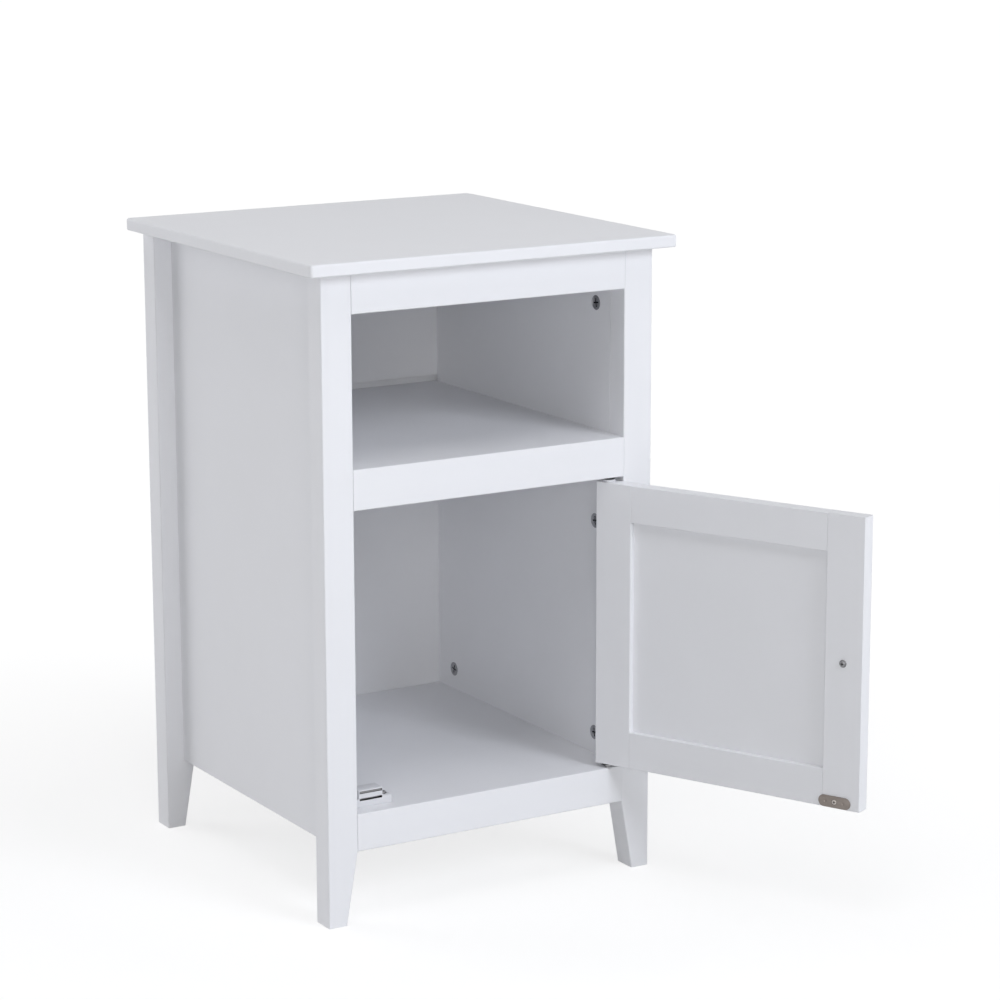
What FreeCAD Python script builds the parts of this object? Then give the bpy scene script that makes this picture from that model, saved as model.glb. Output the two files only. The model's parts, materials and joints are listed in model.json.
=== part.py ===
import FreeCAD, Part
import os
import re
import Sketcher

# Storage side table with an open compartment above and a cupboard with one door below.
# X runs to the right, Y to the back, Z up. The origin is on the floor, below the middle of the top.
# The table is an assembly: a front frame and a back frame (two legs and three rails each) joined by
# side panels with cam fittings, with boards, back panels, a top, and a frame-and-panel door that
# turns on a pivot at its top and its bottom.

# ---------------------------------------------------------------- driving sizes, in mm and degrees
SIZES = {
    # top board
    "overall_height": 640,
    "top_width": 400,
    "top_depth": 400,
    "top_thickness": 12,
    "top_corner_round": 4,
    "top_edge_round": 2,
    "side_overhang": 18.25,
    "front_overhang": 16.5,
    "back_overhang": 1,
    # legs
    "leg_width": 32,
    "leg_depth": 25.5,
    "leg_edge_bevel": 0.8,
    "foot_width": 19.5,
    "taper_height": 72,
    # rails of the front frame and the back frame
    "rail_lift": 72,
    "bottom_rail_height": 37,
    "door_opening_height": 295,
    "shelf_rail_height": 39,
    "top_rail_height": 39,
    "front_rail_thickness": 22,
    "back_rail_thickness": 13,
    "rail_edge_bevel": 0.6,
    "tenon_length": 10,
    "tenon_shoulder": 5,
    "tenon_thickness": 8,
    "mortise_end_gap": 0.5,
    # side panels, boards and back panels
    "side_panel_thickness": 13,
    "board_thickness": 12,
    "tongue_thickness": 4,
    "tongue_length": 6,
    "tongue_end_gap": 0.3,
    "back_panel_thickness": 5,
    "back_panel_setback": 6.5,
    "back_groove_depth": 3,
    "back_groove_gap": 0.3,
    "shelf_slot_height": 7,
    "back_panel_lap": 12,
    # cam fittings
    "cam_diameter": 14,
    "cam_height": 9.5,
    "cam_edge_distance": 25.5,
    "cam_end_distance": 59,
    "cam_well_gap": 0.1,
    "bore_gap": 0.1,
    "cam_slot_length": 9,
    "cam_slot_width": 1.8,
    "cam_slot_depth": 2.2,
    "cam_mouth_reach": 3,
    "cam_mouth_gap": 0.3,
    "bolt_thread_diameter": 5.6,
    "bolt_thread_length": 9,
    "bolt_neck_diameter": 3.6,
    "bolt_head_diameter": 5.6,
    "bolt_head_length": 2.5,
    "top_cam_inset": 70,
    # door
    "open_angle": 115,
    "door_thickness": 15.5,
    "door_hinge_gap": 2.5,
    "door_free_gap": 2,
    "door_end_gap": 4.5,
    "door_stile_width": 40,
    "door_rail_width": 37,
    "door_edge_bevel": 0.6,
    "door_panel_thickness": 5,
    "door_panel_setback": 5.5,
    "door_groove_depth": 7,
    "door_groove_gap": 0.3,
    # door pivots
    "pivot_from_edge": 9.6,
    "pivot_from_front": 7,
    "pin_diameter": 5,
    "pin_shank_length": 10,
    "pin_tip_length": 11,
    "pin_collar_diameter": 8,
    "pivot_running_gap": 0.05,
    "pivot_play": 0.3,
    "bush_flange_diameter": 12.5,
    "bush_flange_thickness": 2.2,
    "bush_barrel_diameter": 8,
    "bush_barrel_length": 14,
    # knob
    "knob_from_edge": 20.5,
    "knob_diameter": 22,
    "knob_projection": 20,
    "knob_base_diameter": 13,
    "knob_neck_diameter": 9,
    "knob_base_thickness": 2.5,
    "knob_head_thickness": 8.5,
    "knob_crown_rise": 3,
    "knob_crown_diameter": 13,
    "knob_screw_diameter": 4,
    "knob_screw_bite": 11,
    "knob_screw_head_diameter": 7.5,
    "knob_screw_head_thickness": 2.2,
    # strike plate on the door
    "strike_length": 34,
    "strike_height": 11.5,
    "strike_thickness": 1.2,
    "strike_from_edge": 9.2,
    "strike_lift": 0.4,
    "strike_screw_diameter": 3,
    "strike_screw_length": 11,
    "strike_screw_head_diameter": 5.2,
    # magnetic catch on the bottom board
    "catch_from_leg": 1,
    "catch_ear_length": 10,
    "catch_block_length": 26,
    "catch_depth": 16,
    "catch_height": 17,
    "catch_ear_height": 8,
    "catch_wall": 1.2,
    "catch_edge_bevel": 0.8,
    "catch_running_gap": 0.3,
    "pole_projection": 0.5,
    "pole_depth": 11,
    "pole_thickness": 1.3,
    "pole_first_lift": 7,
    "pole_pitch": 7,
    "catch_fit_gap": 0.1,
    "catch_screw_diameter": 3,
    "catch_screw_length": 16,
    "catch_screw_head_diameter": 6,
    "catch_screw_head_thickness": 2,
}

# ------------------------------------------------- places worked out from the sizes, in X, Y and Z
PLACES = {
    "body_outer": "top_width / 2 - side_overhang",
    "leg_inner": "body_outer - leg_width",
    "leg_front": "front_overhang - top_depth / 2",
    "leg_back": "top_depth / 2 - back_overhang",
    "front_leg_rear": "leg_front + leg_depth",
    "back_leg_fore": "leg_back - leg_depth",
    "top_underside": "overall_height - top_thickness",
    "bottom_level": "rail_lift + bottom_rail_height",
    "door_opening_top": "bottom_level + door_opening_height",
    "shelf_level": "door_opening_top + shelf_rail_height",
    "top_rail_lower": "top_underside - top_rail_height",
    "front_rail_rear": "leg_front + front_rail_thickness",
    "back_panel_fore": "back_leg_fore + back_panel_setback",
    "back_panel_rear": "back_panel_fore + back_panel_thickness",
    "back_rail_rear": "back_panel_rear + back_rail_thickness",
    "upper_back_lower": "shelf_level + shelf_slot_height",
    "shelf_back_rail_upper": "upper_back_lower + back_panel_lap",
    "clear_width": "2 * leg_inner",
    "board_middle_drop": "board_thickness / 2",
    "panel_middle": "leg_inner + side_panel_thickness / 2",
    "cam_radius": "cam_diameter / 2",
    "top_cam_level": "top_underside - cam_edge_distance",
    "lowest_cam_level": "rail_lift + cam_end_distance",
    "highest_cam_level": "top_underside - cam_end_distance",
    "pivot_x": "leg_inner - door_hinge_gap - pivot_from_edge",
    "pivot_y": "leg_front + pivot_from_front",
    "door_width": "clear_width - door_hinge_gap - door_free_gap",
    "door_lower": "bottom_level + door_end_gap",
    "door_upper": "door_opening_top - door_end_gap",
    "door_height": "door_upper - door_lower",
    "door_inner_face": "door_thickness - pivot_from_front",
    "door_free_edge": "pivot_from_edge - door_width",
    "hinge_stile_inner": "pivot_from_edge - door_stile_width",
    "free_stile_inner": "door_free_edge + door_stile_width",
    "groove_back": "door_inner_face - door_panel_setback",
    "groove_front": "groove_back - door_panel_thickness",
    "door_middle_level": "(door_lower + door_upper) / 2",
    "knob_middle": "door_free_edge + knob_from_edge",
    "strike_middle": "door_free_edge + strike_from_edge + strike_length / 2",
    "strike_middle_level": "door_lower + strike_lift + strike_height / 2",
    "catch_length": "catch_block_length + 2 * catch_ear_length",
    "catch_middle": "catch_from_leg + catch_length / 2 - leg_inner",
    "pole_front": "leg_front + door_thickness + strike_thickness + catch_running_gap",
    "catch_front": "pole_front + pole_projection",
    "pole_length": "catch_block_length - 2 * catch_wall - 2 * catch_fit_gap",
    "strike_screw_head_height": "(strike_screw_head_diameter - strike_screw_diameter) / 2",
}

# The cams, the hidden shanks and their bores are prisms with this many sides, to stay light.
CAM_SIDES = 16
SHANK_SIDES = 8

doc = FreeCAD.newDocument("StorageSideTable")
sheet = doc.addObject("Spreadsheet::Sheet", "dims")
for row, (alias, size) in enumerate(SIZES.items(), start=1):
    sheet.set(f"A{row}", alias)
    sheet.set(f"B{row}", str(size))
    sheet.setAlias(f"B{row}", alias)
doc.recompute()


# ---------------------------------------------------------------------------- formulas and sketches
def formula(text):
    """Write places out in sizes, and sizes as references to the sheet."""
    def spell(match):
        word = match.group(0)
        if word in PLACES:
            return f"({formula(PLACES[word])})"
        return f"dims.{word}" if word in SIZES else word
    return re.sub(r"[a-z][a-z_]+", spell, str(text))


def along(sign, text):
    """A formula counted the way that sign (+1 or -1) points."""
    return f"{sign} * ({text})"


def number(text):
    """The present value of a formula."""
    return float(sheet.evalExpression(formula(text).replace("dims.", "")))


def bind(item, **properties):
    """Bind properties of an object to formulas."""
    for name, text in properties.items():
        item.setExpression(name, formula(text))


def put(item, x=0, y=0, z=0):
    """Bind the place of an object."""
    for letter, text in (("x", x), ("y", y), ("z", z)):
        item.setExpression(f".Placement.Base.{letter}", formula(text))


def new_body(label):
    body = doc.addObject("PartDesign::Body", label)
    body.Label = label
    return body


def new_sketch(body, plane, lift=0, shift=0, rise=0):
    """A sketch on one of the body's own origin planes.

    It is moved along its normal by lift, and in its own plane by shift (its X) and rise (its Y).
    """
    sketch = body.newObject("Sketcher::SketchObject", f"{body.Label}_sketch")
    origin_plane = next(f for f in body.Origin.OriginFeatures if f.Role == f"{plane}_Plane")
    sketch.AttachmentSupport = [(origin_plane, "")]
    sketch.MapMode = "FlatFace"
    sketch.setExpression(".AttachmentOffset.Base.x", formula(shift))
    sketch.setExpression(".AttachmentOffset.Base.y", formula(rise))
    sketch.setExpression(".AttachmentOffset.Base.z", formula(lift))
    return sketch


def hold(sketch, kind, geometry, point, text):
    """Hold a point of the sketch at a distance from its origin, by DistanceX or DistanceY."""
    rule = sketch.addConstraint(
        Sketcher.Constraint(kind, -1, 1, geometry, point, number(text)))
    sketch.setExpression(f"Constraints[{rule}]", formula(text))


def pin_point(sketch, geometry, point, x, y):
    """Hold a point of the sketch at x, y from its origin."""
    hold(sketch, "DistanceX", geometry, point, x)
    hold(sketch, "DistanceY", geometry, point, y)


def outline(sketch, corners):
    """A closed outline with straight sides through corners, each a pair of formulas."""
    first = sketch.GeometryCount
    spots = [FreeCAD.Vector(number(x), number(y), 0) for x, y in corners]
    count = len(corners)
    for index, spot in enumerate(spots):
        sketch.addGeometry(Part.LineSegment(spot, spots[(index + 1) % count]), False)
    for index, (x, y) in enumerate(corners):
        following = first + (index + 1) % count
        sketch.addConstraint(Sketcher.Constraint("Coincident", first + index, 2, following, 1))
        pin_point(sketch, first + index, 1, x, y)


def rectangle(sketch, x0, y0, x1, y1):
    outline(sketch, [(x0, y0), (x1, y0), (x1, y1), (x0, y1)])


def circle(sketch, x, y, diameter):
    spot = FreeCAD.Vector(number(x), number(y), 0)
    index = sketch.addGeometry(
        Part.Circle(spot, FreeCAD.Vector(0, 0, 1), number(diameter) / 2), False)
    rule = sketch.addConstraint(Sketcher.Constraint("Diameter", index, number(diameter)))
    sketch.setExpression(f"Constraints[{rule}]", formula(diameter))
    pin_point(sketch, index, 3, x, y)


def slot(sketch, x, y, length, height):
    """A level slot with round ends, centred on x, y."""
    reach = f"(({length}) - ({height})) / 2"
    radius = f"({height}) / 2"
    half = number(radius)
    ends = [FreeCAD.Vector(number(f"{x} {sign} {reach}"), number(y), 0) for sign in "-+"]
    up = FreeCAD.Vector(0, half, 0)
    side = FreeCAD.Vector(half, 0, 0)
    first = sketch.GeometryCount
    sketch.addGeometry(Part.LineSegment(ends[0] + up, ends[1] + up), False)
    sketch.addGeometry(Part.Arc(ends[1] + up, ends[1] + side, ends[1] - up), False)
    sketch.addGeometry(Part.LineSegment(ends[1] - up, ends[0] - up), False)
    sketch.addGeometry(Part.Arc(ends[0] - up, ends[0] - side, ends[0] + up), False)
    pin_point(sketch, first, 1, f"{x} - {reach}", f"{y} + {radius}")
    pin_point(sketch, first, 2, f"{x} + {reach}", f"{y} + {radius}")
    pin_point(sketch, first + 2, 1, f"{x} + {reach}", f"{y} - {radius}")
    pin_point(sketch, first + 2, 2, f"{x} - {reach}", f"{y} - {radius}")
    hold(sketch, "DistanceX", first + 1, 3, f"{x} + {reach}")
    hold(sketch, "DistanceX", first + 3, 3, f"{x} - {reach}")
    for line, arc, line_end in ((0, 1, 2), (2, 1, 1), (2, 3, 2), (0, 3, 1)):
        touching = 1 if sketch.getPoint(first + arc, 1).isEqual(
            sketch.getPoint(first + line, line_end), 1e-6) else 2
        sketch.addConstraint(Sketcher.Constraint(
            "Coincident", first + line, line_end, first + arc, touching))


# --------------------------------------------------------------------------------- solid features
def pad(body, sketch, length, backwards=False):
    feature = body.newObject("PartDesign::Pad", f"{body.Label}_pad")
    feature.Profile = sketch
    feature.Reversed = backwards
    bind(feature, Length=length)
    return feature


def pocket(body, sketch, depth, backwards=False):
    """Cut a sketch into the body, and make sure that something was cut."""
    doc.recompute()
    before = body.Shape.Volume
    feature = body.newObject("PartDesign::Pocket", f"{body.Label}_pocket")
    feature.Profile = sketch
    feature.Reversed = backwards
    bind(feature, Length=depth)
    doc.recompute()
    if body.Shape.Volume > before - 0.01:
        raise RuntimeError(f"{feature.Label} cuts nothing")
    return feature


ROTATIONS = {
    "x": FreeCAD.Rotation(FreeCAD.Vector(0, 0, 1), FreeCAD.Vector(1, 0, 0)),
    "-x": FreeCAD.Rotation(FreeCAD.Vector(0, 0, 1), FreeCAD.Vector(-1, 0, 0)),
    "y": FreeCAD.Rotation(FreeCAD.Vector(0, 0, 1), FreeCAD.Vector(0, 1, 0)),
    "-y": FreeCAD.Rotation(FreeCAD.Vector(0, 0, 1), FreeCAD.Vector(0, -1, 0)),
    "z": FreeCAD.Rotation(),
    "-z": FreeCAD.Rotation(FreeCAD.Vector(1, 0, 0), 180),
}


def prism(body, kind, sides, diameter, length, direction, x=0, y=0, z=0):
    """A prism that is added to the body or cut from it. It starts at x, y, z."""
    doc.recompute()
    before = body.Shape.Volume if body.Tip else 0
    feature = body.newObject(f"PartDesign::{kind}Prism", f"{body.Label}_prism")
    feature.Polygon = sides
    feature.Placement = FreeCAD.Placement(FreeCAD.Vector(), ROTATIONS[direction])
    bind(feature, Circumradius=f"({diameter}) / 2", Height=length)
    put(feature, x, y, z)
    doc.recompute()
    if abs(body.Shape.Volume - before) < 0.01:
        raise RuntimeError(f"{feature.Label} changes nothing")


def shank_bore(body, diameter, length, direction, x, y, z):
    """A bore that takes a shank of the same number of sides, with a gap all round and at its end."""
    prism(body, "Subtractive", SHANK_SIDES, f"{diameter} + 2 * bore_gap",
          f"{length} + bore_gap", direction, x, y, z)


def edges_of(shape, wanted):
    """Names of the edges for which wanted(edge) is true."""
    return [f"Edge{n}" for n, edge in enumerate(shape.Edges, start=1) if wanted(edge)]


def runs_along(edge, letter):
    """True for a straight edge that is parallel to an axis."""
    start, end = (vertex.Point for vertex in (edge.Vertexes[0], edge.Vertexes[-1]))
    reach = end - start
    straight = isinstance(edge.Curve, (Part.Line, Part.LineSegment))
    return straight and abs(getattr(reach, letter)) > reach.Length * 0.99999 > 0


def round_edges(body, radius, wanted, kind="Fillet"):
    """Fillet (or chamfer) the edges of the body for which wanted(edge) is true."""
    doc.recompute()
    base = body.Tip
    names = edges_of(base.Shape, wanted)
    feature = body.newObject(f"PartDesign::{kind}", f"{body.Label}_{kind.lower()}")
    feature.Base = (base, names)
    bind(feature, **{"Radius" if kind == "Fillet" else "Size": radius})
    return feature


def revolve(body, profile, plane="XZ", **place):
    """Turn an outline about the vertical axis of its sketch."""
    sketch = new_sketch(body, plane, **place)
    outline(sketch, profile)
    feature = body.newObject("PartDesign::Revolution", f"{body.Label}_revolution")
    feature.Profile = sketch
    feature.ReferenceAxis = (sketch, ["V_Axis"])
    feature.Angle = 360
    return feature


def copies(label, master, placements):
    """One node that holds a copy of a master piece at each place (x, y, z, rotation)."""
    links = []
    for number_of_copy, (x, y, z, rotation) in enumerate(placements, start=1):
        link = doc.addObject("App::Link", f"{label}_{number_of_copy}")
        link.LinkedObject = master
        link.Placement.Rotation = rotation
        put(link, x, y, z)
        links.append(link)
    group = doc.addObject("Part::Compound", label)
    group.Label = label
    group.Links = links
    return group


NODES = []
SIDES = (("left", -1), ("right", 1))


# ------------------------------------------------------------------------------------ top and legs
def make_top():
    top = new_body("top_panel")
    sketch = new_sketch(top, "XY")
    rectangle(sketch, "-top_width / 2", "-top_depth / 2", "top_width / 2", "top_depth / 2")
    pad(top, sketch, "top_thickness")
    round_edges(top, "top_corner_round", lambda edge: runs_along(edge, "z"))
    round_edges(top, "top_edge_round", lambda edge: edge.BoundBox.ZMin > number("top_thickness") / 2)
    round_edges(top, "top_edge_round / 2", lambda edge: edge.BoundBox.ZMax < 0.001, "Chamfer")
    for _, side in SIDES:
        for y in top_cam_rows():
            shank_bore(top, "bolt_thread_diameter", "bolt_thread_length", "z",
                       f"{side} * panel_middle", y, 0)
    put(top, z="top_underside")
    NODES.append(top)


def top_cam_rows():
    """Y of the cam fittings that hold the top."""
    return ["front_leg_rear + top_cam_inset", "back_leg_fore - top_cam_inset"]


def side_cam_levels():
    """Heights of the cam fittings between side panels and legs."""
    return ["lowest_cam_level", "(lowest_cam_level + highest_cam_level) / 2", "highest_cam_level"]


def rail_levels():
    """Lower and upper edge of each rail that has a mortise in a front leg."""
    return {
        "bottom": ("rail_lift", "bottom_level"),
        "shelf": ("door_opening_top", "shelf_level"),
        "top": ("top_rail_lower", "top_underside"),
    }


def back_rail_levels():
    levels = rail_levels()
    levels["shelf"] = ("door_opening_top", "shelf_back_rail_upper")
    return levels


def make_leg(end, side_name, side):
    """A leg whose foot tapers on the inner side. Its own origin is its outer front lower corner."""
    front = end == "front"
    leg = new_body(f"{end}_{side_name}_leg")
    inward = -side
    profile = new_sketch(leg, "XZ")
    outline(profile, [
        (0, 0),
        (f"{inward} * foot_width", 0),
        (f"{inward} * leg_width", "taper_height"),
        (f"{inward} * leg_width", "top_underside"),
        (0, "top_underside"),
    ])
    pad(leg, profile, "leg_depth", backwards=True)
    round_edges(leg, "leg_edge_bevel", runs_up, "Chamfer")

    # mortises for the rail tenons, in the inner face
    rail_fore = "leg_front" if front else "back_panel_rear"
    thickness = "front_rail_thickness" if front else "back_rail_thickness"
    leg_fore = "leg_front" if front else "back_leg_fore"
    middle = f"{rail_fore} + {thickness} / 2 - {leg_fore}"
    mortises = new_sketch(leg, "YZ", f"{inward} * leg_width")
    for lower, upper in (rail_levels() if front else back_rail_levels()).values():
        rectangle(
            mortises,
            f"{middle} - tenon_thickness / 2", f"{lower} + tenon_shoulder",
            f"{middle} + tenon_thickness / 2", f"{upper} - tenon_shoulder")
    pocket(leg, mortises, "tenon_length + mortise_end_gap", backwards=side > 0)

    # bores for the threads of the cam bolts, in the face that the side panel meets
    for level in side_cam_levels():
        shank_bore(leg, "bolt_thread_diameter", "bolt_thread_length", "-y" if front else "y",
                   f"{side} * (panel_middle - body_outer)", "leg_depth" if front else 0, level)

    # groove for the back panels
    if not front:
        groove = new_sketch(leg, "YZ", f"{inward} * leg_width")
        rectangle(groove, "back_panel_setback", "bottom_level",
                  "back_panel_setback + back_panel_thickness", "top_underside")
        pocket(leg, groove, "back_groove_depth", backwards=side > 0)
    put(leg, f"{side} * body_outer", leg_fore, 0)
    NODES.append(leg)


def runs_up(edge):
    """True for an edge of a leg that climbs from the floor to the top, taper included."""
    box = edge.BoundBox
    return box.ZLength > 1 and box.ZLength > max(box.XLength, box.YLength)


# ----------------------------------------------------------------------------------- side panels
def make_side_panel(side_name, side):
    """A side panel. Its own origin is on its inner face, at its front lower corner."""
    panel = new_body(f"{side_name}_side_panel")
    depth = "(back_leg_fore - front_leg_rear)"
    height = "(top_underside - rail_lift)"
    sketch = new_sketch(panel, "YZ")
    rectangle(sketch, 0, 0, depth, height)
    pad(panel, sketch, "side_panel_thickness", backwards=side < 0)

    # wells for the cams, in the inner face
    outward = "x" if side > 0 else "-x"
    wells = [(f"{y} - front_leg_rear", f"{height} - cam_edge_distance") for y in top_cam_rows()]
    for level in side_cam_levels():
        wells.append(("cam_edge_distance", f"{level} - rail_lift"))
        wells.append((f"{depth} - cam_edge_distance", f"{level} - rail_lift"))
    for y, z in wells:
        prism(panel, "Subtractive", CAM_SIDES, "cam_diameter + 2 * cam_well_gap",
              "cam_height + cam_well_gap", outward, 0, y, z)

    # bores for the bolts, from the edges to the wells
    middle = f"{side} * side_panel_thickness / 2"
    for level in side_cam_levels():
        for start, direction in ((0, "y"), (depth, "-y")):
            shank_bore(panel, "bolt_thread_diameter", "cam_edge_distance", direction,
                       middle, start, f"{level} - rail_lift")
    for y in top_cam_rows():
        shank_bore(panel, "bolt_thread_diameter", "cam_edge_distance", "-z",
                   middle, f"{y} - front_leg_rear", height)
    put(panel, f"{side} * leg_inner", "front_leg_rear", "rail_lift")
    NODES.append(panel)


# --------------------------------------------------------------------------------- rails and boards
def groove_corners(face, inward, middle):
    """Corners of a groove for a board's tongue, cut into a face at Y, going inward (+1 or -1)."""
    floor = f"{along(inward, 'tongue_length + tongue_end_gap')} + {face}"
    lower = f"{middle} - tongue_thickness / 2"
    upper = f"{middle} + tongue_thickness / 2"
    return [(face, lower), (floor, lower), (floor, upper), (face, upper)]


def make_rail(name, end, lower, upper, groove_middle=None):
    """A rail with a tenon at each end, and a groove for the board that it carries."""
    front = end == "front"
    fore, rear = ("leg_front", "front_rail_rear") if front else ("back_panel_rear", "back_rail_rear")
    rail = new_body(name)
    profile = new_sketch(rail, "YZ", "-leg_inner")
    if groove_middle and front:
        groove = groove_corners(rear, -1, groove_middle)
        outline(profile, [(fore, lower), (rear, lower)] + groove + [(rear, upper), (fore, upper)])
    elif groove_middle:
        groove = groove_corners(fore, 1, groove_middle)
        outline(profile, [(fore, lower)] + groove + [(fore, upper), (rear, upper), (rear, lower)])
    else:
        rectangle(profile, fore, lower, rear, upper)
    pad(rail, profile, "clear_width")
    shown = number(fore) if front else number(rear)
    round_edges(rail, "rail_edge_bevel", lambda edge: runs_along(edge, "x")
                and abs(edge.BoundBox.YMin - shown) < 0.01, "Chamfer")
    tenons = new_sketch(rail, "YZ", "-leg_inner - tenon_length")
    middle = f"({fore} + {rear}) / 2"
    rectangle(tenons, f"{middle} - tenon_thickness / 2", f"{lower} + tenon_shoulder",
              f"{middle} + tenon_thickness / 2", f"{upper} - tenon_shoulder")
    pad(rail, tenons, "tenon_length")
    far_tenon = new_sketch(rail, "YZ", "leg_inner")
    rectangle(far_tenon, f"{middle} - tenon_thickness / 2", f"{lower} + tenon_shoulder",
              f"{middle} + tenon_thickness / 2", f"{upper} - tenon_shoulder")
    pad(rail, far_tenon, "tenon_length")
    put(rail)
    NODES.append(rail)
    return rail


def bore_pivot(rail, level, upwards):
    """A bore in a rail for the shank of a pivot pin."""
    bore = new_sketch(rail, "XY", level)
    circle(bore, "pivot_x", "pivot_y", "pin_diameter + 2 * bore_gap")
    pocket(rail, bore, "pin_shank_length + bore_gap", backwards=upwards)


def make_board(name, level):
    """A board between the side panels, with a tongue in the front rail and in the back rail."""
    board = new_body(name)
    fore = "front_rail_rear"
    rear = "back_panel_rear"
    lower = f"{level} - board_thickness"
    middle = f"{level} - board_middle_drop"
    profile = new_sketch(board, "YZ", "-leg_inner")
    tongue_low = f"{middle} - tongue_thickness / 2"
    tongue_high = f"{middle} + tongue_thickness / 2"
    outline(profile, [
        (fore, lower), (rear, lower),
        (rear, tongue_low), (f"{rear} + tongue_length", tongue_low),
        (f"{rear} + tongue_length", tongue_high), (rear, tongue_high),
        (rear, level), (fore, level),
        (fore, tongue_high), (f"{fore} - tongue_length", tongue_high),
        (f"{fore} - tongue_length", tongue_low), (fore, tongue_low),
    ])
    pad(board, profile, "clear_width")
    put(board)
    NODES.append(board)
    return board


def make_back_panel(name, lower, upper):
    """A back panel that slides in the grooves of the back legs."""
    panel = new_body(name)
    half = "leg_inner + back_groove_depth - back_groove_gap"
    sketch = new_sketch(panel, "XZ", "-back_panel_fore")
    rectangle(sketch, f"-({half})", lower, half, upper)
    pad(panel, sketch, "back_panel_thickness", backwards=True)
    put(panel)
    NODES.append(panel)


# ------------------------------------------------------------------------------------ cam fittings
def make_cam_fittings():
    """Cam locks in the side panels, and the bolts that they pull."""
    # a cam lies on its back: its slotted face is at Z = 0 and its body goes down; the bolt comes
    # along -X to the middle of the cam
    cam = new_body("cam_master")
    prism(cam, "Additive", CAM_SIDES, "cam_diameter", "cam_height", "-z")
    cross = new_sketch(cam, "XY")
    arm = "cam_slot_length / 2"
    width = "cam_slot_width / 2"
    outline(cross, [
        (arm, f"-{width}"), (arm, width), (width, width), (width, arm),
        (f"-{width}", arm), (f"-{width}", width), (f"-{arm}", width), (f"-{arm}", f"-{width}"),
        (f"-{width}", f"-{width}"), (f"-{width}", f"-{arm}"), (width, f"-{arm}"),
        (width, f"-{width}"),
    ])
    pocket(cam, cross, "cam_slot_depth")
    half_mouth = "bolt_head_diameter / 2 + cam_mouth_gap"
    mouth = new_sketch(cam, "XZ", half_mouth)
    rectangle(mouth, "-cam_radius", "-cam_height",
              "cam_mouth_reach", f"{half_mouth} - side_panel_thickness / 2")
    pocket(cam, mouth, f"2 * ({half_mouth})")

    # a bolt runs up: its thread is below Z = 0, where panel and leg meet, and its head is in the cam
    bolt = new_body("bolt_master")
    shank_end = "(cam_edge_distance - cam_radius - cam_well_gap)"
    head_start = "(cam_edge_distance - bolt_head_length / 2)"
    prism(bolt, "Additive", SHANK_SIDES, "bolt_thread_diameter",
          f"bolt_thread_length + {shank_end}", "z", z="-bolt_thread_length")
    prism(bolt, "Additive", SHANK_SIDES, "bolt_neck_diameter",
          f"{head_start} - {shank_end}", "z", z=shank_end)
    prism(bolt, "Additive", SHANK_SIDES, "bolt_head_diameter", "bolt_head_length", "z", z=head_start)
    doc.recompute()

    def turned(face_x, bolt_from):
        """Rotation that takes cam axes to a panel: its face to face_x, its mouth to bolt_from."""
        face = FreeCAD.Vector(face_x, 0, 0)
        mouth_side = FreeCAD.Vector(*bolt_from)
        return FreeCAD.Rotation(-mouth_side, face.cross(-mouth_side), face, "ZXY")

    side_cams, side_bolts, top_cams, top_bolts = [], [], [], []
    front_y = "front_leg_rear + cam_edge_distance"
    back_y = "back_leg_fore - cam_edge_distance"
    ends = ((front_y, "front_leg_rear", -1), (back_y, "back_leg_fore", 1))
    for _, side in SIDES:
        face = f"{side} * leg_inner"
        middle = f"{side} * panel_middle"
        for level in side_cam_levels():
            for cam_y, joint_y, towards in ends:
                side_cams.append((face, cam_y, level, turned(-side, (0, towards, 0))))
                bolt_turn = FreeCAD.Rotation(FreeCAD.Vector(1, 0, 0), 90 * towards)
                side_bolts.append((middle, joint_y, level, bolt_turn))
        for y in top_cam_rows():
            top_cams.append((face, y, "top_cam_level", turned(-side, (0, 0, 1))))
            top_bolts.append(
                (middle, y, "top_underside", FreeCAD.Rotation(FreeCAD.Vector(1, 0, 0), 180)))
    NODES.append(copies("side_cam_locks", cam, side_cams))
    NODES.append(copies("side_cam_bolts", bolt, side_bolts))
    NODES.append(copies("top_cam_locks", cam, top_cams))
    NODES.append(copies("top_cam_bolts", bolt, top_bolts))


# -------------------------------------------------------------------------------------------- door
# Every piece of the door is drawn with the door closed and the pivot axis at X = 0, Y = 0: the
# hinge edge is at +X, the free edge at -X, the outer face at -Y. The door is then turned open.
def hang(item):
    """Put a piece of the door on its pivot, with the door open."""
    item.Placement.Rotation = FreeCAD.Rotation(FreeCAD.Vector(0, 0, 1), number("open_angle"))
    item.setExpression(".Placement.Rotation.Angle", formula("open_angle"))
    put(item, "pivot_x", "pivot_y", 0)
    NODES.append(item)


def door_member(name, profile_corners, plane, start, length):
    """A stile or rail: a grooved profile, its long outer edges bevelled."""
    member = new_body(name)
    sketch = new_sketch(member, plane, start)
    outline(sketch, profile_corners)
    pad(member, sketch, length)
    faces = (number("-pivot_from_front"), number("door_inner_face"))
    direction = "z" if plane == "XY" else "x"

    def shown(edge):
        on_face = min(abs(edge.BoundBox.YMin - face) for face in faces) < 0.01
        return runs_along(edge, direction) and on_face
    round_edges(member, "door_edge_bevel", shown, "Chamfer")
    return member


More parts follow.
